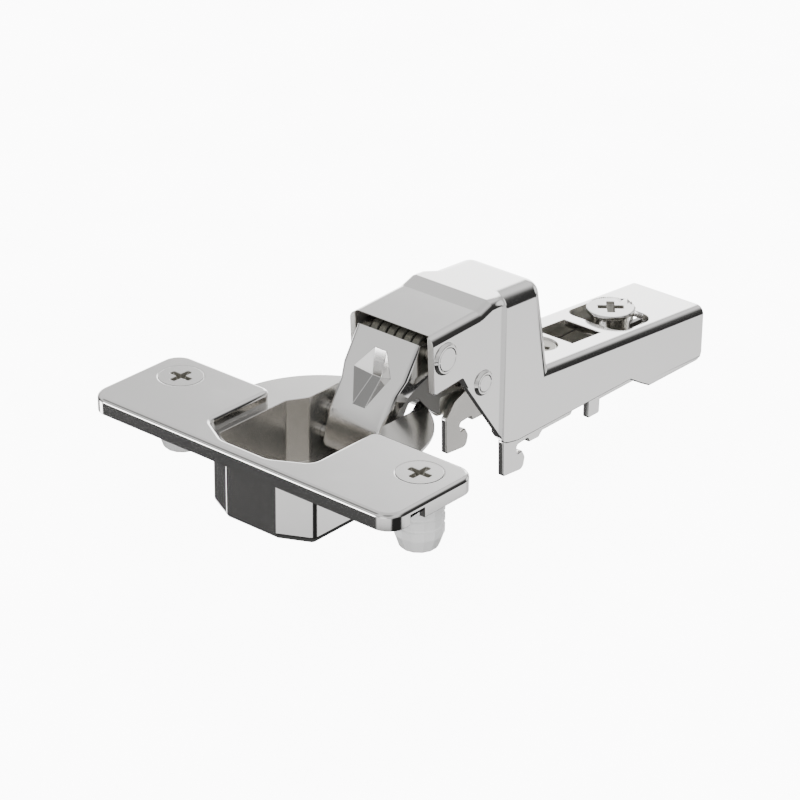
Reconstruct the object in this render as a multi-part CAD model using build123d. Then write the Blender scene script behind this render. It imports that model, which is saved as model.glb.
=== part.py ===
from build123d import *
import os
from math import atan2, degrees, hypot

# Concealed cup hinge for an inset door, shown at 90 degrees open.
# Frame: origin on the cup's axis in the plane of the door face, +X towards the arm,
# +Y along the cover plate, +Z away from the door. Millimetres.

# Cup and cover plate
CUP_R = 17.45              # drilled pocket of 35 mm
RIM_R = 18.72
RIM_T = 0.5
POCKET_DEPTH = 12.35
POCKET_WALL = 1.1
BORE_WALL_HALF = 9.1       # outer half width of the pocket's narrow end
PLATE_FRONT_X = -20.23
PLATE_BACK_X = 0.75
PLATE_HALF = 32.78
PLATE_H = 2.96
PLATE_T = 1.2
PLATE_ROLL = 0.8
SCREW_X = -5.5             # 52 x 5.5 screw pattern
SCREW_Y = 26.0
HEAD_R = 3.87
SCREW_SHANK_R = 1.7
DOWEL_R = 4.15
DOWEL_LOW = -10.1
DOWEL_TAPER_Z = -7.5

# Linkage: A and C on the cup, B and D on the arm, side view (x, z)
A = (10.13, -7.0)
C = (11.73, -3.49)
B = (20.9, 7.8)
D = (30.9, -0.2)
OPEN_PIVOT = (30.48, -0.32)    # middle of the inner link's slot at D
SLOT_HALF_W = 1.45
SLOT_HALF_L = 2.02
PIN_A_R = 1.25
PIN_C_R = 1.2
SHANK_B_R = 1.35
SHANK_D_R = 1.2
RUN = 0.05                 # radial running clearance of every pivot

# Outer link
LINK_T = 1.15
LINK_TOP_HALF = 6.75
LINK_LOW_HALF = 6.05
BOSS_DEPTH = 1.7

# Inner link
INNER_HALF = 4.7
INNER_T = 1.2

# Arm channel
SHEET = 1.3
FRONT_HALF = 9.1
REAR_HALF = 8.5
FRONT_ROLL = 1.6
BLOCK_ROLL = 2.8
REAR_ROLL = 1.6
STEP_X = 36.9              # where the cheeks step inwards
END_X = 95.5
REAR_TOP_Z = -4.16         # at x = 48
REAR_SLOPE = -0.088
BASE_Z = -15.4
CAM_X = 78.3
DRUM_R = 3.6
DEPTH_TRAVEL = 1.5
OVERLAY_X = 57.0

# Clip carrier
CARRIER_HALF = 7.0
CARRIER_T = 1.2
WEB_TOP_Z = -11.5
LATCH = (84.6, -15.1)


def outline(corners):
    """Flat face from corners (u, v) or (u, v, round radius), in order."""
    loop = Wire.make_polygon([(c[0], c[1], 0) for c in corners], close=True)
    face = Face(loop)
    for corner in corners:
        if len(corner) == 3:
            spot = face.vertices().sort_by_distance((corner[0], corner[1], 0))[0]
            face = face.fillet_2d(corner[2], [spot])
    return face if face.normal_at().Z > 0 else -face


def mirrored(half):
    """Corners of a plan outline from its +Y half, which runs in order."""
    return half + [(c[0], -c[1], *c[2:]) for c in reversed(half)]


def plan(face, low, high):
    """Plan outline raised from low to high."""
    return extrude(Plane.XY.offset(low) * face, amount=high - low)


def side(face, inner, outer=None):
    """Side outline as one slab about y = 0, or as two equal plates inner to outer."""
    if outer is None:
        return extrude(Plane.XZ * face, amount=inner, both=True)
    plate = extrude(Plane.XZ.offset(inner) * face, amount=outer - inner)
    return Part() + [plate, mirror(plate, Plane.XZ)]


def cross_pin(point, radius, half_length):
    """Round bar along Y through a side-view point."""
    bar = Cylinder(radius, 2 * half_length, rotation=(90, 0, 0))
    return Pos(point[0], 0, point[1]) * bar


# ---------------------------------------------------------------- cup and cover plate

def pocket_corners(front, side_y, narrow_y, corner_r, bend_x):
    """Plan of the pocket: faceted front, broad middle, narrow end towards the arm."""
    facet = (side_y - 5.45) * 0.49
    return mirrored([
        (front, 5.45),
        (front + facet, side_y, corner_r),
        (bend_x, side_y, 1.0),
        (bend_x + 3.4, narrow_y, 1.0),
        (20.0, narrow_y),
    ])


def cup_shell():
    """Drawn cup: faceted pocket, thin round rim, low end wall where the links pass."""
    outer_plan = outline(pocket_corners(-16.5, 11.2, BORE_WALL_HALF, 1.5, 3.1))
    outer = plan(outer_plan, -POCKET_DEPTH, RIM_T)
    outer &= Cylinder(CUP_R, 40) + Pos(-15, 0, 0) * Box(40, 60, 40)
    foot = outer.edges().filter_by_position(Axis.Z, -POCKET_DEPTH, -POCKET_DEPTH)
    outer = fillet(foot, 1.5)
    rim = plan(Face(Wire.make_circle(RIM_R)), 0, RIM_T)
    inner_plan = outline(pocket_corners(-16.5 + POCKET_WALL, 10.1, 8.0, 0.8, 2.9))
    hollow = plan(inner_plan, POCKET_WALL - POCKET_DEPTH, 3)
    hollow &= Cylinder(CUP_R - POCKET_WALL, 40)
    notch = Pos(16.5, 0, 0) * Box(7, 13, 6)
    flare = plan(outline(mirrored([(13.4, 8.0), (16.6, 6.5)])), -0.5, 1)
    cup = outer + rim - hollow - notch - flare
    for point, radius in ((A, PIN_A_R), (C, PIN_C_R)):
        cup -= cross_pin(point, radius, 12)
    return cup


def pivot_pin(point, radius):
    """Pin through both side walls of the pocket, its ends flush inside the bore."""
    return cross_pin(point, radius, BORE_WALL_HALF)


def opening_corners(grow):
    """Plan of the cover plate's U opening, wider by grow on each closed side."""
    return mirrored([
        (-16.7 - grow, 4.6 + 0.4 * grow, 3.0),
        (-13.3 - 0.9 * grow, 10.3 + grow, 1.6 + grow),
        (3.0, 10.3 + grow),
    ])


def wing_plate():
    """Cover plate: shallow pan upside down, rolled lip round the U, two dimples."""
    length_x = PLATE_BACK_X - PLATE_FRONT_X
    middle = (PLATE_BACK_X + PLATE_FRONT_X) / 2
    body = Pos(middle, 0, PLATE_H / 2) * Box(length_x, 2 * PLATE_HALF, PLATE_H)
    body = fillet(body.edges().filter_by(Axis.Z), 3.4)
    body -= plan(outline(opening_corners(0.9)), -1, PLATE_H + 1)
    mouth = body.edges().filter_by(Axis.Z)
    mouth = mouth.filter_by_position(Axis.X, PLATE_BACK_X - 0.1, PLATE_BACK_X + 0.1)
    mouth = mouth.filter_by_position(Axis.Y, -14, 14)
    body = fillet(mouth, 1.6)
    top = body.edges().group_by(Axis.Z)[-1]
    body = fillet(top, PLATE_ROLL)

    pan = Pos(middle, 0, 0) * Box(length_x - 2 * PLATE_T, 2 * (PLATE_HALF - PLATE_T), 12)
    pan = fillet(pan.edges().filter_by(Axis.Z), 2.2)
    pan &= Pos(0, 0, PLATE_H - PLATE_T - 6) * Box(200, 200, 12)
    lip = plan(outline(opening_corners(1.9)), -1, PLATE_H)
    lip &= Pos(middle, 0, 0) * Box(length_x, 60, 12)
    body -= pan - lip
    for turn in (1, -1):
        body -= Pos(-13.9, turn * PLATE_HALF, 0.3) * Box(3.3, 6, 2.9)
        spot = Pos(SCREW_X, turn * SCREW_Y, 0)
        body += spot * Pos(0, 0, 1.2) * Cone(3.1, 5.0, 1.6)
        body -= spot * Pos(0, 0, PLATE_H - 1.1) * Cone(HEAD_R - 2.17, HEAD_R + 0.03, 2.2)
        body -= spot * Cylinder(SCREW_SHANK_R + 0.1, 8)
    body -= Cylinder(RIM_R + 0.15, 2 * (RIM_T + 0.02))
    return body


def plate_screw(turn):
    """Countersunk screw with a cross recess, flush with the cover plate."""
    head = Pos(0, 0, PLATE_H - 1.1) * Cone(HEAD_R - 2.2, HEAD_R, 2.2)
    shank = Pos(0, 0, PLATE_H - 2.2 - 5.5) * Cylinder(SCREW_SHANK_R, 11)
    tip = Pos(0, 0, PLATE_H - 2.2 - 11.6) * Cone(0.6, SCREW_SHANK_R, 1.2)
    screw = head + shank + tip - cross_recess(4.3, 1.0, PLATE_H, 1.5, 45)
    return Pos(SCREW_X, turn * SCREW_Y, 0) * screw


def cross_recess(length, width, top, depth, angle):
    """Cross-shaped driver recess that narrows downwards."""
    arm = plan(outline([
        (-length / 2, -width / 2, 0.2), (length / 2, -width / 2, 0.2),
        (length / 2, width / 2, 0.2), (-length / 2, width / 2, 0.2),
    ]), top - depth, top + 0.5)
    cone = Pos(0, 0, top - depth / 2) * Cone(length / 5, length / 1.6, depth + 0.02)
    cross = (arm + Rot(0, 0, 90) * arm) & cone
    return Rot(0, 0, angle) * cross


def dowel(turn):
    """Press-in plastic dowel: straight ribbed shank, tapered nose, split."""
    rings = []
    for step in range(3):
        z = -1.8 - 1.9 * step
        rings += [(DOWEL_R, z + 0.25), (DOWEL_R - 0.2, z), (DOWEL_R, z - 0.25)]
    profile = outline([
        (0, 0.35), (3.0, 0.35), (3.0, 0), (DOWEL_R, 0), *rings, (DOWEL_R, DOWEL_TAPER_Z),
        (3.3, DOWEL_LOW, 1.2), (0, DOWEL_LOW),
    ])
    body = revolve(Plane.XZ * profile, Axis.Z)
    body -= Pos(0, 0, PLATE_H - 1.1) * Cone(HEAD_R - 2.2, HEAD_R + 0.4, 2.6)
    body -= Cylinder(SCREW_SHANK_R + 0.04, 24.4)
    body -= Pos(0, 0, -8) * Box(0.7, 12, 8)
    return Pos(SCREW_X, turn * SCREW_Y, 0) * body


# ---------------------------------------------------------------- links

FACE_LINE = [(16.53, 11.1), (12.9, 5.34), (8.42, -1.38), (7.7, -3.8), (7.2, -6.6)]


def face_back(distance):
    """The outer link's face line, moved back from its outer surface."""
    moved = []
    for index, (x, z) in enumerate(FACE_LINE):
        low = FACE_LINE[min(index + 1, len(FACE_LINE) - 1)]
        high = FACE_LINE[max(index - 1, 0)]
        run, rise = high[0] - low[0], high[1] - low[1]
        span = hypot(run, rise)
        moved.append((x + distance * rise / span, z - distance * run / span))
    return moved


def link_front(half_top, half_low):
    """Front view of the outer link as a prism along X: wide top, waisted foot."""
    half = [(half_top, 14), (half_top, 5.3), (half_low, 3.0), (half_low, -12)]
    corners = half + [(-y, z) for y, z in reversed(half)]
    return extrude(Plane.YZ * outline(corners), amount=40)


def faceted_pit(grow):
    """Six-sided pit with a short bottom ridge, in the outer link's upper face."""
    (x1, z1), (x2, z2), (x3, z3) = FACE_LINE[:3]
    upper = Vector(x2 - x1, 0, z2 - z1)
    lower = Vector(x3 - x2, 0, z3 - z2).normalized()
    bend = upper.length
    upper = upper.normalized()
    back = Vector(-upper.Z, 0, upper.X)

    def spot(across, along, depth):
        on_face = Vector(x1, across, z1) + upper * min(along, bend)
        return on_face + lower * max(along - bend, 0) + back * depth

    g = grow
    rim = [(1.3 + g, 2.7 - g), (4.05 + g, bend), (1.35 + g, 12.8 + g)]
    rim = rim + [(-across, along) for across, along in reversed(rim)]
    edge = [spot(across, along, -0.01) for across, along in rim]
    ridge = [spot(0.95, 7.15, BOSS_DEPTH + g), spot(-0.95, 7.15, BOSS_DEPTH + g)]
    facets = [
        [edge[0], edge[1], ridge[0]], [edge[1], edge[2], ridge[0]],
        [edge[2], edge[3], ridge[1], ridge[0]], [edge[3], edge[4], ridge[1]],
        [edge[4], edge[5], ridge[1]], [edge[5], edge[0], ridge[0], ridge[1]],
        [edge[0], edge[1], edge[4], edge[5]], [edge[1], edge[2], edge[3], edge[4]],
    ]
    return Solid(Shell([Face(Wire.make_polygon(f, close=True)) for f in facets]))


def outer_link():
    """Pressed front link: bent face with a faceted pit, two flanges with pivot eyes."""
    back = face_back(LINK_T)
    eye_a = Pos(A[0], 0, A[1]) * Cylinder(2.5, 40, rotation=(90, 0, 0))
    eye_b = Pos(B[0], 0, B[1]) * Cylinder(3.1, 40, rotation=(90, 0, 0))
    flange = FACE_LINE + [(8.3, -8.6), (11.0, -9.2), (10.0, -4.6), (9.9, -2.2),
                          (15.4, 1.9), (22.4, 5.1), (20.9, 10.9), (17.6, 10.4)]
    blank = side(outline(flange), 8) + (eye_a + eye_b)
    blank &= link_front(LINK_TOP_HALF, LINK_LOW_HALF)
    room = back + [(8.3, -12), (40, -12), (40, 14), (19.0, 14)]
    hollow = side(outline(room), 8)
    hollow &= link_front(LINK_TOP_HALF - LINK_T, LINK_LOW_HALF - LINK_T)
    link = blank - hollow
    link += faceted_pit(0.8) - side(outline(FACE_LINE + [(0, -8), (0, 12)]), 8)
    link -= faceted_pit(0)
    link -= cross_pin(A, PIN_A_R + RUN, 12)
    link -= cross_pin(B, SHANK_B_R + RUN, 12)
    return link


def inner_link():
    """Arched channel from C to D, heel below, slotted at D."""
    lift = degrees(atan2(OPEN_PIVOT[1] - C[1], OPEN_PIVOT[0] - C[0]))
    contour = [
        (9.7, -2.6, 1.0), (12.4, -1.0, 2.0), (15.0, 2.6, 2.5), (21.0, 3.6, 4.0),
        (30.4, 2.6, 2.2), (33.3, 0.6, 1.8), (32.6, -2.9, 2.0), (24.9, -2.3, 0.4),
        (24.9, -5.5, 0.4), (22.6, -3.9, 1.0), (20.9, -2.4, 1.0), (19.2, -0.35, 1.0),
        (16.9, -0.35, 0.8), (15.4, -2.6, 1.5), (13.2, -5.6, 1.2), (10.4, -5.3, 1.2),
    ]
    blank = side(outline(contour), INNER_HALF)
    blank += Pos(C[0], 0, C[1]) * Cylinder(2.25, 2 * INNER_HALF, rotation=(90, 0, 0))
    web = outline([
        (15.9, -1.2), (17.1, 0.95), (19.9, 0.95), (22.2, -1.4), (23.7, -2.5),
        (23.7, -0.2), (26.5, -0.2), (26.5, -6.5), (22.0, -6.5), (16.0, -6.5),
    ])
    room = side(outline(contour), INNER_HALF - INNER_T)
    room += cross_pin(C, 2.6, INNER_HALF - INNER_T)
    room -= side(web, INNER_HALF)
    link = blank - room
    link -= cross_pin(C, PIN_C_R + RUN, 12)
    slot = Pos(OPEN_PIVOT[0], 0, OPEN_PIVOT[1]) * Rot(0, -lift, 0) * side(
        SlotOverall(2 * SLOT_HALF_L, 2 * SLOT_HALF_W).face(), 12)
    return link - slot


# ---------------------------------------------------------------- arm

def rear_top(x):
    """Height of the rear arm's top surface."""
    return REAR_TOP_Z + REAR_SLOPE * (x - 48)


ROOF_LINE = [(17.5, 12.45), (29.9, 12.95, 0.8), (32.9, 13.95, 0.8), (47.4, 12.95, 2.8)]
WALL_FOOT = (52.8, BASE_Z)
BASE_LINE = [(41.5, BASE_Z, 2.0), (38.4, -14.8, 1.0), (36.4, -12.9, 0.5), (26.6, 0.4, 0.5),
             (25.4, 2.4, 0.5), (18.1, 1.8, 0.6)]
REAR_BASE = [(END_X, -18.9, 1.6), (79.6, -18.75, 1.0), (77.4, -17.6, 0.5), (73.6, BASE_Z, 1.0)]


def rolled(corners, half, roll, on_roof):
    """Side outline as a solid, its outline edges rounded where on_roof holds."""
    block = side(outline(corners), half)
    edges = [e for e in block.edges() if abs(abs((e @ 0.5).Y) - half) < 0.01]
    return fillet([e for e in edges if on_roof(e @ 0.5)], roll)


def between(low_x, high_x):
    """Slice of space between two stations along the arm."""
    return Pos((low_x + high_x) / 2, 0, 0) * Box(high_x - low_x, 60, 80)


def on_block(spot):
    """True along the front roof, the block's top and its back wall."""
    return spot.X > 17.7 and spot.Z > 10.5 or spot.X > 45 and spot.Z > BASE_Z + 1


def block_form(half, roll):
    """Outer form under the front roof and the high block."""
    return rolled(ROOF_LINE + [WALL_FOOT] + BASE_LINE, half, roll, on_block)


def front_room():
    """The hollow under the front roof, whose edge is bevelled underneath."""
    lid = [(10.0, 14.0), (15.9, 14.0), (19.5, 11.4), (29.9, 11.75), (33.1, 12.65),
           (40.0, 12.16), (40.0, -30), (10.0, -30)]
    return side(outline(lid), FRONT_HALF - SHEET)


def block_room():
    """The hollow under the high block, open below."""
    lid = [(33.1, 12.65), (46.3, 11.75, 1.6), (54.4, -30), (33.1, -30)]
    return rolled(lid, REAR_HALF - SHEET, BLOCK_ROLL - SHEET,
                  lambda spot: spot.X > 34 and spot.Z > -20)


def arm_channel():
    """Cranked arm, one folded sheet: front cheeks, high block, low rear channel."""
    front = block_form(FRONT_HALF, FRONT_ROLL) & between(10, STEP_X)
    block = block_form(REAR_HALF, BLOCK_ROLL) & between(STEP_X, 60)
    rear = rolled(
        [(43.0, rear_top(43.0)), (END_X, rear_top(END_X)), *REAR_BASE, (43.0, BASE_Z)],
        REAR_HALF, REAR_ROLL, lambda spot: 45 < spot.X < END_X - 0.1 and spot.Z > -12)
    arm = front + block + rear
    arm -= front_room() & between(0, STEP_X - SHEET)
    arm -= block_room() & between(STEP_X - SHEET, 60)
    under = [(43.0, rear_top(43.0) - SHEET), (110, rear_top(110) - SHEET), (110, -30), (43, -30)]
    arm -= side(outline(under), REAR_HALF - SHEET)
    arm -= cross_pin(B, SHANK_B_R, 12)
    arm -= cross_pin(D, SHANK_D_R, 12)
    tools = plan(Pos(OVERLAY_X, 0) * Face(Wire.make_circle(3.65)), -12, 0)
    tools += plan(outline([(61.9, -4.05), (70.0, -4.05), (70.0, 4.05), (61.9, 4.05)]), -12, 0)
    front_x = CAM_X - DRUM_R - DEPTH_TRAVEL - 0.25
    back_x = CAM_X + DRUM_R + DEPTH_TRAVEL + 0.25
    tools += plan(outline([(front_x, -6.3, 2.2), (back_x, -6.3, 3.4), (back_x, 6.3, 3.4),
                           (front_x, 6.3, 2.2)]), -12, 0)
    return arm - tools


def rivet(point, shank_r, head_r):
    """Rivet across the arm with a ringed head on each cheek."""
    bar = cross_pin(point, shank_r, FRONT_HALF + 0.1)
    head = outline([(0, 0), (head_r, 0), (head_r, 0.3), (head_r - 0.25, 0.5),
                    (head_r - 0.6, 0.5), (head_r - 0.75, 0.35), (head_r - 0.9, 0.5), (0, 0.55)])
    disc = revolve(Plane.XZ * head, Axis.Z)
    near = Pos(point[0], -FRONT_HALF, point[1]) * Rot(90, 0, 0) * disc
    far = Pos(point[0], FRONT_HALF, point[1]) * Rot(-90, 0, 0) * disc
    return bar + near + far


def leg_spring(wire_r, coil_r, pitch, turns, lead, tail):
    """Coil along Y starting at its top, with a tangent leg at each end."""
    coil = Helix(pitch, pitch * turns, coil_r)
    start, finish = coil @ 0, coil @ 1
    lead_way = Vector((coil % 0).X, (coil % 0).Y, 0).normalized()
    tail_way = Vector((coil % 1).X, (coil % 1).Y, 0).normalized()
    first_leg = Edge.make_line(start - lead_way * lead, start)
    last_leg = Edge.make_line(finish, finish + tail_way * tail)
    route = Wire([first_leg, coil.edge(), last_leg])
    section = Plane(origin=route @ 0, z_dir=route % 0) * Circle(wire_r)
    spring = sweep(section, route)
    return Pos(0, turns * pitch / 2, 0) * Rot(90, 0, 0) * Rot(0, 0, 90) * spring


def torsion_spring():
    """Six windings on the big rivet; one leg under the roof, one over the inner link."""
    return Pos(B[0], 0, B[1]) * leg_spring(0.8, 2.35, 1.7, 5.5, 8.0, 7.0)


def overlay_screw():
    """Side adjusting screw: thread in the arm's top, neck captive in the carrier's slot."""
    top = rear_top(OVERLAY_X) - 0.6
    body = Pos(0, 0, top - 2.0) * Cylinder(3.6, 4.0)
    neck = Pos(0, 0, top - 6.0) * Cylinder(1.7, 9.0)
    foot = Pos(0, 0, WEB_TOP_Z - 1.95) * Cylinder(2.7, 0.9)
    neck &= Pos(0, 0, WEB_TOP_Z - 2.0 + 10) * Box(9, 9, 20)
    screw = body + neck + foot - cross_recess(4.6, 1.1, top, 1.6, 20)
    return Pos(OVERLAY_X, 0, 0) * screw


# ---------------------------------------------------------------- clip carrier

def hook_outline():
    """Side plate of the carrier: front hook, middle lug, rear end."""
    return outline([
        (39.3, -15.3, 1.0), (39.5, -22.2, 0.6), (45.1, -22.7, 1.2), (45.6, -20.5, 0.9),
        (44.7, -18.9, 0.5), (43.3, -19.2, 0.4), (43.2, -17.4, 0.6), (46.2, -17.2, 0.4),
        (46.6, -18.1, 0.3), (49.3, -18.15, 0.5), (50.3, -17.2, 0.4), (58.3, -17.2),
        (59.3, -16.0), (63.3, -16.0), (63.3, -19.8, 0.5), (66.7, -19.8, 0.5), (66.8, -17.2),
        (90.5, -17.2, 1.0), (90.5, -12.6, 1.0), (83.0, WEB_TOP_Z, 1.0),
        (44.4, WEB_TOP_Z, 3.0), (41.6, -12.6, 2.0),
    ])


def clip_carrier():
    """Inner channel that clips to the mounting plate: two hooked plates and a web."""
    carrier = side(hook_outline(), CARRIER_HALF - CARRIER_T, CARRIER_HALF)
    web = Pos(63.9, 0, WEB_TOP_Z - CARRIER_T / 2)
    web *= Box(36.2, 2 * CARRIER_HALF - 1.0, CARRIER_T)
    carrier += web
    slot = SlotOverall(9.4, 3.9).face()
    carrier -= plan(Pos(OVERLAY_X, 0) * slot, -14, -10)
    window = outline([(63.0, -4.0, 0.5), (71.0, -4.0, 0.5), (71.0, 4.0, 0.5), (63.0, 4.0, 0.5)])
    carrier -= plan(window, -14, -10)
    carrier -= Pos(CAM_X, 0, WEB_TOP_Z) * Cylinder(2.05, 4)
    return carrier - cross_pin(LATCH, 1.25, 12)


def depth_cam():
    """Depth screw: broad cross-recess head, drum through the arm, riveted foot."""
    head_low = rear_top(CAM_X) + 0.95
    head_top = head_low + 0.7
    drum_low = WEB_TOP_Z + 0.1
    half = [(0, drum_low), (DRUM_R, drum_low), (DRUM_R, head_low - 0.4, 0.3),
            (4.4, head_low), (4.4, head_top, 0.15), (0, head_top)]
    drum = revolve(Plane.XZ * outline(half), Axis.Z)
    stem = Pos(0, 0, WEB_TOP_Z - 0.8) * Cylinder(2.0, 2.0)
    foot = Pos(0, 0, WEB_TOP_Z - CARRIER_T - 0.6) * Cylinder(3.0, 0.9)
    cam = drum + stem + foot - cross_recess(4.7, 1.4, head_top, 1.9, 40)
    return Pos(CAM_X, 0, 0) * cam


def latch_lever():
    """Rear latch: hook that grips the mounting plate, finger tab inside the arm's end."""
    cheek = outline([
        (83.0, -13.0, 1.2), (87.4, -13.6, 1.0), (94.2, -14.0, 0.8), (94.2, -16.9, 0.8),
        (89.4, -17.4, 0.8), (89.3, -21.2, 0.5), (86.5, -21.0, 0.6), (86.0, -18.0, 0.8),
        (82.6, -17.2, 1.2),
    ])
    lever = side(cheek, 3.8, 4.9)
    lever += Pos(93.6, 0, -15.4) * Box(1.1, 9.0, 2.6)
    return lever - cross_pin(LATCH, 1.25, 12)


def latch_pin():
    """Pin of the rear latch, riveted in the carrier's side plates."""
    return cross_pin(LATCH, 1.2, CARRIER_HALF)


def latch_spring():
    """Small return spring on the latch pin, one leg under the web, one on the lever."""
    return Pos(LATCH[0], 0, LATCH[1]) * leg_spring(0.35, 1.65, 0.8, 4, 6.5, 2.5)


NODES = {
    "wing_plate": wing_plate,
    "cup_shell": cup_shell,
    "screw_left": lambda: plate_screw(1),
    "screw_right": lambda: plate_screw(-1),
    "dowel_left": lambda: dowel(1),
    "dowel_right": lambda: dowel(-1),
    "outer_link_pin": lambda: pivot_pin(A, PIN_A_R),
    "inner_link_pin": lambda: pivot_pin(C, PIN_C_R),
    "outer_link": outer_link,
    "inner_link": inner_link,
    "arm_channel": arm_channel,
    "big_rivet": lambda: rivet(B, SHANK_B_R, 2.85),
    "small_rivet": lambda: rivet(D, SHANK_D_R, 2.3),
    "torsion_spring": torsion_spring,
    "overlay_screw": overlay_screw,
    "clip_carrier": clip_carrier,
    "depth_cam": depth_cam,
    "latch_lever": latch_lever,
    "latch_pin": latch_pin,
    "latch_spring": latch_spring,
}

os.makedirs("parts", exist_ok=True)
for name, make in NODES.items():
    export_step(make(), f"parts/{name}.step")
    print("wrote", name)
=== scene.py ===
import bmesh
import bpy
from math import atan2, cos, pi, radians, sin
from mathutils import Matrix, Vector


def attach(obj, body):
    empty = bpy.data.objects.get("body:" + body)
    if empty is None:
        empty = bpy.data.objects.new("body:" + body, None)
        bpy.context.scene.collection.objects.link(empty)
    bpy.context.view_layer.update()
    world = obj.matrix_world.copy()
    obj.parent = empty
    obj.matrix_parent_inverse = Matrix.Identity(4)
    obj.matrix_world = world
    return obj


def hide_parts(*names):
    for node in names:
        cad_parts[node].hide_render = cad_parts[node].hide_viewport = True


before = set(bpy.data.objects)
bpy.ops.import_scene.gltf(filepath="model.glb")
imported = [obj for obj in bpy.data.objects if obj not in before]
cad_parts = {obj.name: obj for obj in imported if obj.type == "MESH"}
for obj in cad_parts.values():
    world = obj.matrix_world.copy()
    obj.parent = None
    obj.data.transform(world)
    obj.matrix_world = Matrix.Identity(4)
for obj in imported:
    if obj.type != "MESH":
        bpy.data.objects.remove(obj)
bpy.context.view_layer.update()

# --- Camera -----------------------------------------------------------------
# A long lens half a metre away looks down on the hinge from the cup's left front.
# It is shifted so that the hinge's origin falls on ORIGIN_PX of a square frame.

FRAME_PX = 800
AZIMUTH = radians(-49.53)
ELEVATION = radians(26.29)
ROLL = radians(0.54)
DISTANCE = 0.520
FOCAL_PX = 3195
ORIGIN_PX = Vector((319.7, 427.4))
SENSOR_MM = 36
NEAREST = 0.01

back = Vector((sin(AZIMUTH) * cos(ELEVATION), -cos(AZIMUTH) * cos(ELEVATION), sin(ELEVATION)))
right = Vector((cos(AZIMUTH), sin(AZIMUTH), 0))
up = back.cross(right)
turned_right = right * cos(ROLL) + up * sin(ROLL)
turned_up = up * cos(ROLL) - right * sin(ROLL)
shift_right = (ORIGIN_PX.x - FRAME_PX / 2) / FOCAL_PX * DISTANCE
shift_down = (ORIGIN_PX.y - FRAME_PX / 2) / FOCAL_PX * DISTANCE
camera_data = bpy.data.cameras.new("camera")
camera_data.sensor_width = SENSOR_MM
camera_data.lens = FOCAL_PX / FRAME_PX * SENSOR_MM
camera_data.clip_start = NEAREST
camera = bpy.data.objects.new("camera", camera_data)
camera.matrix_world = Matrix.Translation(
    -turned_right * shift_right + turned_up * shift_down + back * DISTANCE
) @ Matrix((turned_right, turned_up, back)).transposed().to_4x4()
bpy.context.scene.collection.objects.link(camera)
bpy.context.scene.camera = camera

# --- Studio -----------------------------------------------------------------
# A white seamless floor and a light tent round the hinge. The tent's bright cards and
# black flags are what the mirror plating shows, and soft lamps light the plastic.

studio = bpy.data.worlds.new("studio")
bpy.context.scene.world = studio
studio.use_nodes = True
room = studio.node_tree.nodes
wires = studio.node_tree.links
room.clear()
looking = room.new("ShaderNodeTexCoord").outputs["Generated"]
split = room.new("ShaderNodeSeparateXYZ")
wires.new(looking, split.inputs[0])
height = split.outputs["Z"]


def eased(value, start, end):
    """Smooth step of a value from 0 at start to 1 at end."""
    step = room.new("ShaderNodeMapRange")
    step.interpolation_type = "SMOOTHSTEP"
    step.inputs["From Min"].default_value = start
    step.inputs["From Max"].default_value = end
    wires.new(value, step.inputs["Value"])
    return step.outputs["Result"]


TENT_PEAK = 2.0
TENT = [  # height of the direction, light level of the tent wall there
    (-1.0, 0.10), (-0.56, 0.03), (-0.515, 0.03), (-0.485, 1.55), (-0.44, 1.65), (-0.30, 1.20),
    (0.0, 0.75), (0.30, 0.90), (0.45, 1.20), (0.75, 1.10), (1.0, 1.0),
]
grade = room.new("ShaderNodeMapRange")
grade.inputs["From Min"].default_value = -1
wires.new(height, grade.inputs["Value"])
wall = room.new("ShaderNodeValToRGB")
wires.new(grade.outputs["Result"], wall.inputs["Fac"])
stops = wall.color_ramp.elements
while len(stops) < len(TENT):
    stops.new(0.5)
for stop, (z, level) in zip(stops, TENT):
    stop.position = (z + 1) / 2
    stop.color = (level / TENT_PEAK, level / TENT_PEAK, level / TENT_PEAK, 1)
peak = room.new("ShaderNodeMath")
peak.operation = "MULTIPLY"
peak.inputs[1].default_value = TENT_PEAK
wires.new(wall.outputs["Color"], peak.inputs[0])
light = peak.outputs[0]

LOWER_EDGE = (-0.385, -0.345)
CARDS = [  # where it hangs, degrees from its middle to full and to none, level, lower edge
    ((0.68, -0.10, 0.73), 8, 22, 1.30, None),         # upper half of the near rolled edges
    ((0.68, -0.72, -0.02), 16, 50, 0.05, LOWER_EDGE),  # their lower half, not the flats below
    ((-0.08, -0.895, -0.44), 20, 32, 0.03, None),     # upright corners of cup and plate
    ((-0.38, 0.81, -0.44), 28, 42, 0.105, None),      # front walls of cup and plate
    ((-0.44, 0.58, 0.69), 5, 19, 0.30, None),         # thin shade along the plate's front roll
    ((-0.78, 0.58, -0.20), 6, 12, 10.0, None),        # bright line below it
    ((0.85, 0.48, 0.22), 5, 20, 5.0, None),           # tops of the block and the rear arm
    ((0.88, -0.16, -0.44), 8, 16, 1.15, None),        # ramp of the cheek's joggle
    ((0.955, -0.29, 0.06), 10, 18, 1.5, None),        # upper end of that ramp
    ((-0.97, -0.25, -0.05), 10, 24, 2.0, None),       # rolled side of the front link
    ((-0.48, -0.36, 0.80), 14, 26, 0.38, None),       # darker walls of the link's pit
    ((0.68, 0.62, -0.25), 25, 35, 6.0, None),         # edges that turn out of sight
    ((-0.35, 0.82, -0.44), 8, 13, 8.0, None),         # bright line down the cup's front bend
]
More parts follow.
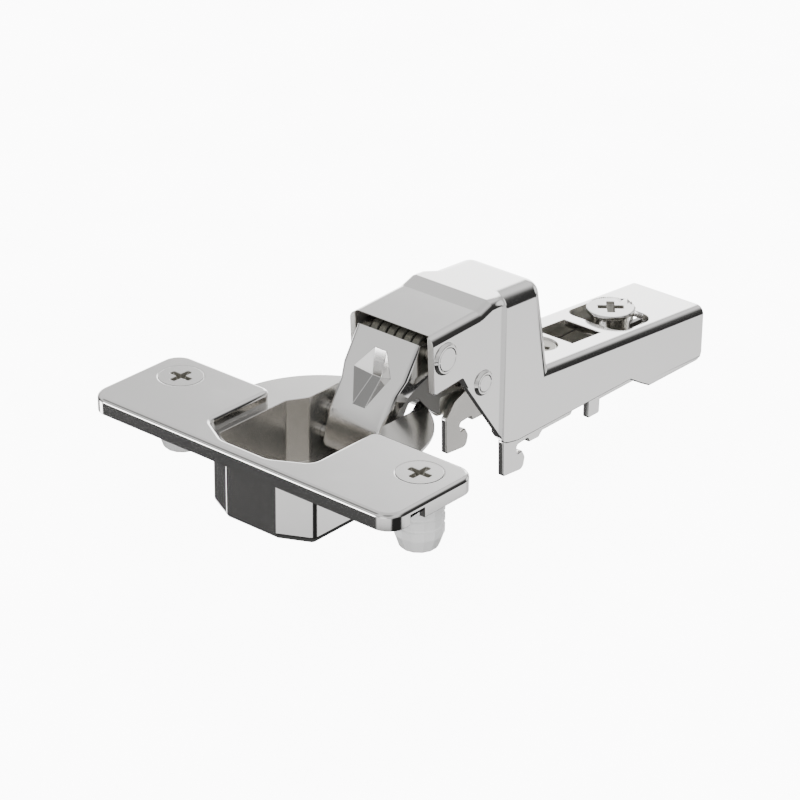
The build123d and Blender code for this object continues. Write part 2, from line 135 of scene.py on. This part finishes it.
for towards, full, end, level, lower_edge in CARDS:
    aim = room.new("ShaderNodeVectorMath")
    aim.operation = "DOT_PRODUCT"
    aim.inputs[1].default_value = Vector(towards).normalized()
    wires.new(looking, aim.inputs[0])
    shape = eased(aim.outputs["Value"], cos(radians(end)), cos(radians(full)))
    if lower_edge:
        cut = room.new("ShaderNodeMath")
        cut.operation = "MULTIPLY"
        wires.new(shape, cut.inputs[0])
        wires.new(eased(height, *lower_edge), cut.inputs[1])
        shape = cut.outputs[0]
    card = room.new("ShaderNodeMix")
    wires.new(shape, card.inputs["Factor"])
    wires.new(light, card.inputs["A"])
    card.inputs["B"].default_value = level
    light = card.outputs["Result"]
glow = room.new("ShaderNodeBackground")
wires.new(light, glow.inputs["Strength"])
wires.new(glow.outputs[0], room.new("ShaderNodeOutputWorld").inputs["Surface"])

FLOOR_Z, FLOOR_HALF = -0.030, 3.0
FLOOR_GLOW = (9.5, 10.5)
bm = bmesh.new()
bmesh.ops.create_grid(bm, x_segments=1, y_segments=1, size=FLOOR_HALF)
bmesh.ops.translate(bm, verts=bm.verts, vec=(0, 0, FLOOR_Z))
floor_mesh = bpy.data.meshes.new("floor")
bm.to_mesh(floor_mesh)
bm.free()
floor = bpy.data.objects.new("floor", floor_mesh)
bpy.context.scene.collection.objects.link(floor)
floor.visible_glossy = False
floor.visible_diffuse = False
paper = bpy.data.materials.new("floor_paper")
paper.use_nodes = True
shade = paper.node_tree.nodes["Principled BSDF"]
flat = paper.node_tree.nodes.new("ShaderNodeTexCoord").outputs["Object"]
grain = paper.node_tree.nodes.new("ShaderNodeTexNoise")
grain.inputs["Scale"].default_value = 40
paper.node_tree.links.new(flat, grain.inputs["Vector"])
lit = paper.node_tree.nodes.new("ShaderNodeMapRange")
lit.inputs["To Min"].default_value = FLOOR_GLOW[0]
lit.inputs["To Max"].default_value = FLOOR_GLOW[1]
paper.node_tree.links.new(grain.outputs["Fac"], lit.inputs["Value"])
paper.node_tree.links.new(lit.outputs["Result"], shade.inputs["Emission Strength"])
shade.inputs["Emission Color"].default_value = (1, 1, 1, 1)
shade.inputs["Base Color"].default_value = (0.9, 0.9, 0.9, 1)
shade.inputs["Roughness"].default_value = 0.9
floor_mesh.materials.append(paper)

LAMPS = [  # place, size, watts
    ((-0.5, -0.5, 1.2), 1.2, 10),
    ((0.9, 0.5, 1.0), 1.2, 6),
    ((-0.30, -0.45, 0.02), 0.3, 2.2),
]
for index, (place, size, watts) in enumerate(LAMPS):
    lamp_data = bpy.data.lights.new(f"lamp_{index}", "AREA")
    lamp_data.size = size
    lamp_data.energy = watts
    lamp = bpy.data.objects.new(f"lamp_{index}", lamp_data)
    lamp.location = place
    lamp.rotation_euler = (-Vector(place)).to_track_quat("-Z", "Y").to_euler()
    lamp.visible_glossy = False
    bpy.context.scene.collection.objects.link(lamp)

# --- Cover plate ------------------------------------------------------------
# The wing plate over the cup: a shallow pan pressed from sheet steel and bright nickel
# plated, with a lip rolled round its U opening and a countersunk hole for each screw.

MM = 0.001
WELD = 0.002 * MM
FLAT_WITHIN = radians(0.6)
GLOSS_STRAY = 0.03
TINT_STRAY = 0.97
CLOUDS_PER_M, RIPPLES_PER_M = 160, 240
RIPPLE, RIPPLE_DEPTH = 0.012, 0.2 * MM
ROUNDED_CREASE = 50


def plating(name, colour, roughness, metallic=1.0):
    """Plated metal whose gloss, tint and level vary slightly over the surface."""
    metal = bpy.data.materials.new(name)
    metal.use_nodes = True
    nodes, link = metal.node_tree.nodes, metal.node_tree.links.new
    shader = nodes["Principled BSDF"]
    place = nodes.new("ShaderNodeTexCoord").outputs["Object"]
    cloud = nodes.new("ShaderNodeTexNoise")
    cloud.inputs["Scale"].default_value = CLOUDS_PER_M
    cloud.inputs["Detail"].default_value = 3
    link(place, cloud.inputs["Vector"])
    gloss = nodes.new("ShaderNodeMapRange")
    gloss.inputs["To Min"].default_value = roughness - GLOSS_STRAY
    gloss.inputs["To Max"].default_value = roughness + GLOSS_STRAY
    link(cloud.outputs["Fac"], gloss.inputs["Value"])
    link(gloss.outputs["Result"], shader.inputs["Roughness"])
    tint = nodes.new("ShaderNodeMix")
    tint.data_type = "RGBA"
    tint.inputs["A"].default_value = (*[TINT_STRAY * part for part in colour], 1)
    tint.inputs["B"].default_value = (*colour, 1)
    link(cloud.outputs["Fac"], tint.inputs["Factor"])
    link(tint.outputs["Result"], shader.inputs["Base Color"])
    waves = nodes.new("ShaderNodeTexNoise")
    waves.inputs["Scale"].default_value = RIPPLES_PER_M
    link(place, waves.inputs["Vector"])
    bump = nodes.new("ShaderNodeBump")
    bump.inputs["Strength"].default_value = RIPPLE
    bump.inputs["Distance"].default_value = RIPPLE_DEPTH
    link(waves.outputs["Fac"], bump.inputs["Height"])
    link(bump.outputs["Normal"], shader.inputs["Normal"])
    shader.inputs["Metallic"].default_value = metallic
    return metal


def merged(node):
    """The node's mesh as one bmesh with its doubles merged and its flats joined."""
    bm = bmesh.new()
    bm.from_mesh(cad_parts[node].data)
    bmesh.ops.remove_doubles(bm, verts=bm.verts, dist=WELD)
    bmesh.ops.dissolve_limit(bm, angle_limit=FLAT_WITHIN, verts=bm.verts, edges=bm.edges)
    return bm


def rounded_layer(bm):
    """The mark on faces that a broken edge left behind."""
    return bm.faces.layers.int.get("rounded") or bm.faces.layers.int.new("rounded")


def broken_edges(bm, width, segments=2, over=25, where=None, off_rounded=False):
    """Rounds each crease of more than over degrees whose middle and edge pass the test.

    With off_rounded, creases that touch an edge rounded before are left as they are.
    """
    rounded = rounded_layer(bm)
    creases = []
    for edge in bm.edges:
        if not edge.is_manifold or edge.calc_face_angle(0) <= radians(over):
            continue
        if off_rounded and any(face[rounded] for vert in edge.verts for face in vert.link_faces):
            continue
        middle = (edge.verts[0].co + edge.verts[1].co) / 2
        if where is None or where(middle / MM, edge):
            creases.append(edge)
    made = bmesh.ops.bevel(bm, geom=creases, offset=width * MM, offset_type="OFFSET",
                           affect="EDGES", segments=segments, profile=0.5, material=-1,
                           clamp_overlap=False, loop_slide=True)
    for face in made["faces"]:
        face[rounded] = 1


def finished(bm, name, metals, body, nodes, crease=25):
    """Puts a bmesh on the hinge as one piece, smooth save at creases that stayed sharp."""
    rounded = rounded_layer(bm)
    for face in bm.faces:
        face.smooth = True
    for edge in bm.edges:
        limit = ROUNDED_CREASE if any(face[rounded] for face in edge.link_faces) else crease
        edge.smooth = not (edge.is_manifold and edge.calc_face_angle(0) > radians(limit))
    mesh = bpy.data.meshes.new(name)
    bm.to_mesh(mesh)
    bm.free()
    piece = bpy.data.objects.new(name, mesh)
    bpy.context.scene.collection.objects.link(piece)
    for metal in metals:
        mesh.materials.append(metal)
    weigh = piece.modifiers.new("faces_weighted", "WEIGHTED_NORMAL")
    weigh.keep_sharp = True
    weigh.weight = 100
    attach(piece, body)
    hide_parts(*nodes)


bright_nickel = plating("bright_nickel", (0.90, 0.89, 0.875), 0.11)
PLATE_BREAK, HOLE_BREAK = 0.12, 0.22
HOLE_R, HOLE_TOP_Z = 4.5, 2.5
SCREW_AT = {"left": Vector((-5.5, 26.0, 0)), "right": Vector((-5.5, -26.0, 0))}


def on_hole_edge(at, edge):
    """True at the top edge of the plate's two screw holes."""
    return at.z > HOLE_TOP_Z and any((at - spot).to_2d().length < HOLE_R
                                     for spot in SCREW_AT.values())


bm = merged("wing_plate")
broken_edges(bm, PLATE_BREAK, where=lambda at, edge: not on_hole_edge(at, edge))
broken_edges(bm, HOLE_BREAK, where=on_hole_edge)
finished(bm, "cover_plate", [bright_nickel], "cup", ["wing_plate"])

# --- Plate screws -----------------------------------------------------------
# Two countersunk steel screws, nickel plated, with a cross recess stamped in the head.
# They sit flush in the plate and are driven into the dowels.

# A nickel darkened as painted shade, for recesses, inner faces and undersides.
painted_shade_nickel = plating("painted_shade_nickel", (0.46, 0.45, 0.41), 0.34, metallic=0.9)
HEAD_BREAK = 0.14
HEAD_FROM_Z, HEAD_TOP_Z = 1.0, 2.93
RECESS_R = 2.6
POINT_BELOW_Z, POINT_RAISE = -8.0, 1.7


def coated(bm, index, where):
    """Gives faces whose middle and normal pass the test the metal of that index."""
    for face in bm.faces:
        if where(face.calc_center_median() / MM, face.normal):
            face.material_index = index


for side_name, spot in SCREW_AT.items():
    bm = merged(f"screw_{side_name}")
    bmesh.ops.rotate(bm, verts=bm.verts, cent=spot * MM,
                     matrix=Matrix.Rotation(radians(45), 3, "Z"))
    # The point is drawn up, so that it ends inside the dowel's nose.
    point = [vert for vert in bm.verts if vert.co.z < POINT_BELOW_Z * MM]
    bmesh.ops.translate(bm, verts=point, vec=(0, 0, POINT_RAISE * MM))
    broken_edges(bm, HEAD_BREAK, where=lambda at, edge: at.z > HEAD_FROM_Z)
    # The cross recess gets the darkened nickel: painted shade in the recess.
    coated(bm, 1, lambda at, normal: (at - spot).to_2d().length < RECESS_R
           and HEAD_FROM_Z < at.z < HEAD_TOP_Z)
    finished(bm, f"plate_screw_{side_name}", [bright_nickel, painted_shade_nickel], "cup",
             [f"screw_{side_name}"])

# --- Cup --------------------------------------------------------------------
# The cup, drawn from sheet steel, with its thin round rim and faceted pocket. Drawing
# leaves its rim a little dull. Its inside is satin, in a darker colour that is painted
# shade. The cover plate lies on the rim.

# Satin nickel for insides, its darker colour painted shade.
satin_painted_shade_nickel = plating("satin_painted_shade_nickel", (0.72, 0.70, 0.665), 0.24, metallic=0.88)
rim_nickel = plating("rim_nickel", (0.80, 0.79, 0.77), 0.20)
CUP_BREAK = 0.12
WALL_TOP_Z = 0.6


def in_pocket(at, normal):
    """True on the pocket's floor and on walls that face the cup's axis."""
    inward = normal.x * at.x + normal.y * at.y < 0
    return (inward and at.z < WALL_TOP_Z) or (normal.z > 0.5 and at.z < 0)


bm = merged("cup_shell")
broken_edges(bm, CUP_BREAK, over=20)
coated(bm, 2, lambda at, normal: normal.z > 0.5)
# The pocket's floor and inner walls get the satin nickel, darkened as painted shade.
coated(bm, 1, in_pocket)
finished(bm, "cup_pocket", [bright_nickel, satin_painted_shade_nickel, rim_nickel], "cup",
         ["cup_shell"], crease=20)

# --- Dowels -----------------------------------------------------------------
# Two press-in dowels of milky white nylon, moulded many-sided with three grooves
# and a tapered nose. The plate screws spread them in their holes in the door.

white_plastic = bpy.data.materials.new("white_plastic")
white_plastic.use_nodes = True
nylon = white_plastic.node_tree.nodes["Principled BSDF"]
place = white_plastic.node_tree.nodes.new("ShaderNodeTexCoord").outputs["Object"]
milky = white_plastic.node_tree.nodes.new("ShaderNodeTexNoise")
milky.inputs["Scale"].default_value = 120
white_plastic.node_tree.links.new(place, milky.inputs["Vector"])
tone = white_plastic.node_tree.nodes.new("ShaderNodeMix")
tone.data_type = "RGBA"
tone.inputs["A"].default_value = (0.90, 0.905, 0.90, 1)
tone.inputs["B"].default_value = (0.96, 0.96, 0.955, 1)
white_plastic.node_tree.links.new(milky.outputs["Fac"], tone.inputs["Factor"])
white_plastic.node_tree.links.new(tone.outputs["Result"], nylon.inputs["Base Color"])
nylon.inputs["Roughness"].default_value = 0.35

# The dowel's outline as radius and height, from its mouth down the outside and up the bore.
RIB_R, GROOVE_R = 4.15, 3.92
COLLAR = [(3.0, 0.30), (3.0, -0.8), (2.5, -1.0), (3.9, -1.35)]
GROOVE_TOPS = (-1.45, -3.35, -5.25)
GROOVE = [(RIB_R, 0), (GROOVE_R, -0.17), (GROOVE_R, -0.50), (RIB_R, -0.67)]
NOSE = [(4.12, -7.4), (3.95, -7.75), (3.45, -9.3), (3.1, -9.8), (2.6, -10.05)]
BORE = [(1.8, -10.1), (1.8, 0.0), (2.4, 0.30)]
DOWEL_SIDES = 14
grooves = [(radius, top + z) for top in GROOVE_TOPS for radius, z in GROOVE]
for side_name, spot in SCREW_AT.items():
    bm = bmesh.new()
    points = [bm.verts.new((spot + Vector((radius, 0, z))) * MM)
              for radius, z in COLLAR + grooves + NOSE + BORE]
    line = [bm.edges.new(pair) for pair in zip(points, points[1:] + points[:1])]
    bmesh.ops.spin(bm, geom=points + line, cent=spot * MM, axis=(0, 0, 1), angle=2 * pi,
                   steps=DOWEL_SIDES, use_merge=True)
    bmesh.ops.remove_doubles(bm, verts=bm.verts, dist=WELD)
    bmesh.ops.recalc_face_normals(bm, faces=bm.faces)
    finished(bm, f"ribbed_dowel_{side_name}", [white_plastic], "cup",
             [f"dowel_{side_name}"], crease=18)

# --- Pivot pins -------------------------------------------------------------
# Plain turned steel pins, pressed in with their ends flush. Two carry the links in the
# cup's walls, and the third carries the rear latch in the clip carrier.

pin_steel = plating("pin_steel", (0.60, 0.60, 0.59), 0.2)
for pin in ("outer_link_pin", "inner_link_pin", "latch_pin"):
    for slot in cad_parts[pin].material_slots:
        slot.material = pin_steel

# --- Outer link -------------------------------------------------------------
# The front link, one pressing of nickel plated steel: a bent face with a faceted pit
# and rolled sides that turn back into two flanges with the pivot eyes.

LINK_ROLL, LINK_BREAK = 1.05, 0.10
LINK_WELD = 0.06 * MM
FOOT_Z = -6.6
EYE_X, EYE_TOP_Z = 8.5, -1.4


def on_link_side(at, edge):
    """True on the long corners between face and flanges, clear of the foot and the eyes."""
    front = any(face.normal.x < -0.6 for face in edge.link_faces)
    flank = any(abs(face.normal.y) > 0.8 for face in edge.link_faces)
    return front and flank and at.z > FOOT_Z and (at.x < EYE_X or at.z > EYE_TOP_Z)


bm = merged("outer_link")
bmesh.ops.remove_doubles(bm, verts=bm.verts, dist=LINK_WELD)
broken_edges(bm, LINK_ROLL, segments=5, where=on_link_side)
broken_edges(bm, LINK_BREAK, over=15, off_rounded=True)
finished(bm, "pressed_link", [bright_nickel], "front_link",
         ["outer_link"], crease=14)

# --- Inner link -------------------------------------------------------------
# The rear link, an arched channel pressed from steel, in a duller plate whose darker
# colour is painted shade. It turns on its pin in the cup and on the small rivet in the arm.

# Dark colour painted in as shade; the plate is duller as well.
dark_nickel = plating("dark_nickel", (0.20, 0.195, 0.185), 0.30)
INNER_BREAK = 0.10
bm = merged("inner_link")
broken_edges(bm, INNER_BREAK)
finished(bm, "arched_link", [dark_nickel], "rear_link", ["inner_link"])

# --- Arm --------------------------------------------------------------------
# The cranked arm, folded from one sheet of nickel plated steel: low front roof, high
# block, long rear channel. Behind the rivets its cheeks joggle inwards over a short ramp.

FRONT_HALF, FRONT_ROLL = 9.1, 1.6
BLOCK_HALF, BLOCK_ROLL = 8.5, 2.8
ROOF_Z, ROOF_X, ROOF_RUN = 13.95, 32.9, 14.5
STEP_X = 36.9
JOGGLE = (35.35, 37.6)
JOGGLE_TOP_Z = 11.0
STEP_FROM_Y = 5.6
OUTSIDE_Y, INSIDE_Y = 8.4, 7.9
SHEARED_TO_X, REAR_END_X = 30.0, 95.0
JOGGLE_BREAK, LOWER_BREAK, ARM_BREAK = 0.22, 0.28, 0.14
NEAR, RING_GAP = 0.01, 0.35
sheared_nickel = plating("sheared_nickel", (0.74, 0.73, 0.70), 0.42, metallic=0.55)


def block_roof(x):
    """Height of the block's top, which falls by 1 in ROOF_RUN along the arm."""
    return ROOF_Z - (x - ROOF_X) / ROOF_RUN


def on_roll(at, half, roll):
    """Angle of a point round the arm's rolled top edge, or None off that roll."""
    out, over = abs(at.y) - (half - roll), at.z - (block_roof(at.x) - roll)
    if over <= 0 and abs(abs(at.y) - half) < NEAR / 2:
        return 0.0
    if over > 0 and out > -NEAR and abs(Vector((out, over)).length - roll) < 2 * NEAR:
        return atan2(over, max(out, 0))
    return None


def on_joggle_crease(at, edge):
    """True on the upright creases where the joggle starts and ends."""
    upright = abs(edge.verts[0].co.x - edge.verts[1].co.x) < NEAR * MM
    return (upright and abs(at.y) > OUTSIDE_Y and at.z < JOGGLE_TOP_Z
            and any(abs(at.x - x) < NEAR for x in JOGGLE))


def on_lower_edge(at, edge):
    """True on the outer lower edges of the cheeks."""
    return (abs(at.y) > OUTSIDE_Y and at.x < REAR_END_X
            and min(face.normal.z for face in edge.link_faces) < -0.3)


def at_step(edge):
    """True on flat edges that the step left across the joggle's ramp."""
    return (edge.is_manifold and edge.calc_face_angle(0) < radians(1)
            and all(abs(vert.co.x / MM - STEP_X) < 2 * NEAR and abs(vert.co.y / MM) > OUTSIDE_Y
                    and vert.co.z / MM < JOGGLE_TOP_Z for vert in edge.verts))


# The step's faces go, and the points of both outlines between the two ends of the
# joggle move on to the ramp. At the step they then meet and are welded.
bm = merged("arm_channel")
step_faces = [face for face in bm.faces if face.normal.x > 0.9
              and all(abs(vert.co.x / MM - STEP_X) < NEAR for vert in face.verts)
              and all(abs(vert.co.y / MM) > STEP_FROM_Y for vert in face.verts)]
bmesh.ops.delete(bm, geom=step_faces, context="FACES_ONLY")
for x in JOGGLE:
    bmesh.ops.bisect_plane(bm, geom=bm.verts[:] + bm.edges[:] + bm.faces[:], dist=WELD / 20,
                           plane_co=(x * MM, 0, 0), plane_no=(1, 0, 0))
rings = {FRONT_HALF: [], BLOCK_HALF: []}
for vert in bm.verts:
    at = vert.co / MM
    if not JOGGLE[0] - NEAR < at.x < JOGGLE[1] + NEAR:
        continue
    share = (at.x - JOGGLE[0]) / (JOGGLE[1] - JOGGLE[0])
    half = FRONT_HALF + share * (BLOCK_HALF - FRONT_HALF)
    roll = FRONT_ROLL + share * (BLOCK_ROLL - FRONT_ROLL)
    for own_half, own_roll in ((FRONT_HALF, FRONT_ROLL), (BLOCK_HALF, BLOCK_ROLL)):
        angle = on_roll(at, own_half, own_roll)
        if angle is None:
            continue
        vert.co.y = (half - roll + roll * cos(angle)) * MM * (1 if at.y > 0 else -1)
        if angle > 0 or at.z > block_roof(at.x) - own_roll - 2 * NEAR:
            vert.co.z = (block_roof(at.x) - roll + roll * sin(angle)) * MM
        if abs(at.x - STEP_X) < NEAR:
            rings[own_half].append(vert)
        break
for vert in rings[FRONT_HALF]:
    closest = min(rings[BLOCK_HALF], key=lambda other: (other.co - vert.co).length)
    if (closest.co - vert.co).length < RING_GAP * MM:
        vert.co = closest.co
bmesh.ops.remove_doubles(bm, verts=bm.verts, dist=WELD)
bmesh.ops.holes_fill(bm, edges=[edge for edge in bm.edges if edge.is_boundary], sides=8)
bmesh.ops.dissolve_edges(bm, edges=[edge for edge in bm.edges if at_step(edge)])
broken_edges(bm, JOGGLE_BREAK, over=6, where=on_joggle_crease)
broken_edges(bm, LOWER_BREAK, segments=3, where=on_lower_edge, off_rounded=True)
broken_edges(bm, ARM_BREAK, where=lambda at, edge: abs(at.x - STEP_X) > 5 * NEAR,
             off_rounded=True)
# Faces inside the channel and under it get the darkened nickel: painted shade.
coated(bm, 1, lambda at, normal: abs(at.y) < INSIDE_Y
       and (normal.y * at.y < -0.5 or normal.z < -0.6))
coated(bm, 2, lambda at, normal: normal.x < -0.9 and abs(at.y) > INSIDE_Y
       and at.x < SHEARED_TO_X)
finished(bm, "hinge_arm", [bright_nickel, painted_shade_nickel, sheared_nickel], "arm",
         ["arm_channel"])

# --- Rivets -----------------------------------------------------------------
# Two shouldered steel rivets, nickel plated, join the links to the arm. Each head is a
# low disc with a sloping edge and one ring pressed in by the riveting tool.

HEAD_H, HEAD_STEPS = 0.5, 64
RING_DEPTH = 0.13
RIVETS = {  # centre of the rivet, radius of its shank and of its head
    "big": ((20.9, 7.8), 1.35, 2.85),
    "small": ((30.9, -0.2), 1.2, 2.3),
}
for size_name, ((x, z), shank, head) in RIVETS.items():
    profile = [
        (0, HEAD_H), (head - 0.92, HEAD_H), (head - 0.80, HEAD_H - RING_DEPTH),
        (head - 0.68, HEAD_H), (head - 0.42, HEAD_H), (head - 0.34, HEAD_H - 0.04),
        (head, 0.08), (head, -0.1), (shank, -0.1), (shank, -FRONT_HALF),
    ]
    bm = bmesh.new()
    points = [bm.verts.new(Vector((x, -FRONT_HALF - out, z + radius)) * MM)
              for radius, out in profile]
    line = [bm.edges.new(pair) for pair in zip(points, points[1:])]
    bmesh.ops.spin(bm, geom=points + line, cent=Vector((x, 0, z)) * MM, axis=(0, 1, 0),
                   angle=2 * pi, steps=HEAD_STEPS, use_merge=True)
    bmesh.ops.mirror(bm, geom=bm.verts[:] + bm.edges[:] + bm.faces[:], axis="Y",
                     merge_dist=WELD / 2)
    bmesh.ops.remove_doubles(bm, verts=bm.verts, dist=WELD)
    bmesh.ops.recalc_face_normals(bm, faces=bm.faces)
    finished(bm, f"{size_name}_ringed_rivet", [bright_nickel], "arm",
             [f"{size_name}_rivet"], crease=20)

# --- Springs ----------------------------------------------------------------
# Spring wire, coloured dark as painted shade. Flat-sided windings sit on the big rivet
# with a leg at each end, and a small round spring on the latch pin returns the latch.

# Its dark colour is painted shade from under the arm's roof.
spring_steel = plating("spring_steel", (0.24, 0.236, 0.205), 0.40, metallic=0.6)
WIRE_IN, WIRE_OUT, WIRE_WIDE, WIRE_BREAK = 1.60, 3.12, 1.42, 0.16
WIND_PITCH, WIND_TURNS, WIND_STEPS = 1.82, 5.5, 176
LEGS = (7.9, 6.9)
(axle_x, axle_z), _, _ = RIVETS["big"]
wound_wide = WIND_PITCH * WIND_TURNS
bm = bmesh.new()
bmesh.ops.create_grid(bm, x_segments=1, y_segments=1, size=0.5 * MM)
bmesh.ops.delete(bm, geom=bm.faces[:], context="FACES_ONLY")
bmesh.ops.scale(bm, verts=bm.verts, vec=(WIRE_OUT - WIRE_IN, WIRE_WIDE, 1))
bmesh.ops.rotate(bm, verts=bm.verts, cent=(0, 0, 0), matrix=Matrix.Rotation(radians(90), 3, "Y"))
bmesh.ops.translate(bm, verts=bm.verts, vec=Vector((
    axle_x, wound_wide / 2, axle_z + (WIRE_IN + WIRE_OUT) / 2)) * MM)
ends = [bm.edges[:]]
wound = bmesh.ops.spin(bm, geom=bm.verts[:] + bm.edges[:],
                       cent=Vector((axle_x, 0, axle_z)) * MM, axis=(0, 1, 0),
                       dvec=(0, -wound_wide / WIND_STEPS * MM, 0),
                       angle=-2 * pi * WIND_TURNS, steps=WIND_STEPS)
ends.append([item for item in wound["geom_last"] if isinstance(item, bmesh.types.BMEdge)])
for loop, leg_long in zip(ends, LEGS):
    leg = bmesh.ops.extrude_edge_only(bm, edges=loop)["geom"]
    bmesh.ops.translate(bm, verts=[item for item in leg if isinstance(item, bmesh.types.BMVert)],
                        vec=(leg_long * MM, 0, 0))
bmesh.ops.holes_fill(bm, edges=bm.edges, sides=4)
bmesh.ops.recalc_face_normals(bm, faces=bm.faces)
broken_edges(bm, WIRE_BREAK, over=50)
finished(bm, "wound_spring", [spring_steel], "arm", ["torsion_spring"])
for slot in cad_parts["latch_spring"].material_slots:
    slot.material = spring_steel

# --- Adjusting screws -------------------------------------------------------
# Nickel plated steel. The side adjusting screw is a grub screw in the arm's top, here
# without its thread. The depth screw has a broad head, and its foot is riveted in the
# carrier.

SCREW_BREAK = 0.08
RECESS_TO, RECESS_DEPTH = 2.8, 3.0
ADJUSTERS = [  # node, piece, body, axis x, top, radius and break of its rim, painted shade below
    ("overlay_screw", "side_adjuster", "overlay", 57.0, -5.6, 3.6, 0.30, 0.0),
    ("depth_cam", "depth_adjuster", "cam", 78.3, -5.2, 4.4, 0.12, -5.3),
]
for node, piece_name, body, axis_x, top_z, rim_r, rim_break, painted_shade_below_z in ADJUSTERS:
    axis = Vector((axis_x, 0))
    bm = merged(node)
    broken_edges(bm, rim_break, segments=3, where=lambda at, edge: abs(at.z - top_z) < 0.4
                 and abs((at.to_2d() - axis).length - rim_r) < 0.15)
    broken_edges(bm, SCREW_BREAK, off_rounded=True)
    # The recess below that height gets the darkened nickel: painted shade.
    coated(bm, 1, lambda at, normal: (at.to_2d() - axis).length < RECESS_TO
           and top_z - RECESS_DEPTH < at.z < painted_shade_below_z)
    finished(bm, piece_name, [bright_nickel, painted_shade_nickel], body, [node])

# --- Clip carrier and latch -------------------------------------------------
# The carrier is a channel folded from nickel plated steel inside the arm, with hooks in
# front. The latch turns on its pin at the rear, and both snap onto the mounting plate.

CARRIER_BREAK, LATCH_BREAK = 0.2, 0.12
CARRIER_INSIDE_Y = 6.2
bm = merged("clip_carrier")
broken_edges(bm, CARRIER_BREAK, segments=3)
# The inner walls and floor of the channel get the darker nickels: painted shade inside.
coated(bm, 2, lambda at, normal: abs(at.y) < CARRIER_INSIDE_Y and normal.y * at.y < 0)
coated(bm, 1, lambda at, normal: abs(at.y) < CARRIER_INSIDE_Y and normal.z > 0.6)
finished(bm, "hooked_carrier", [bright_nickel, painted_shade_nickel, satin_painted_shade_nickel], "carrier",
         ["clip_carrier"])
# The latch gets the dark nickel, whose colour is painted shade.
bm = merged("latch_lever")
broken_edges(bm, LATCH_BREAK)
finished(bm, "rear_latch", [dark_nickel], "latch", ["latch_lever"])
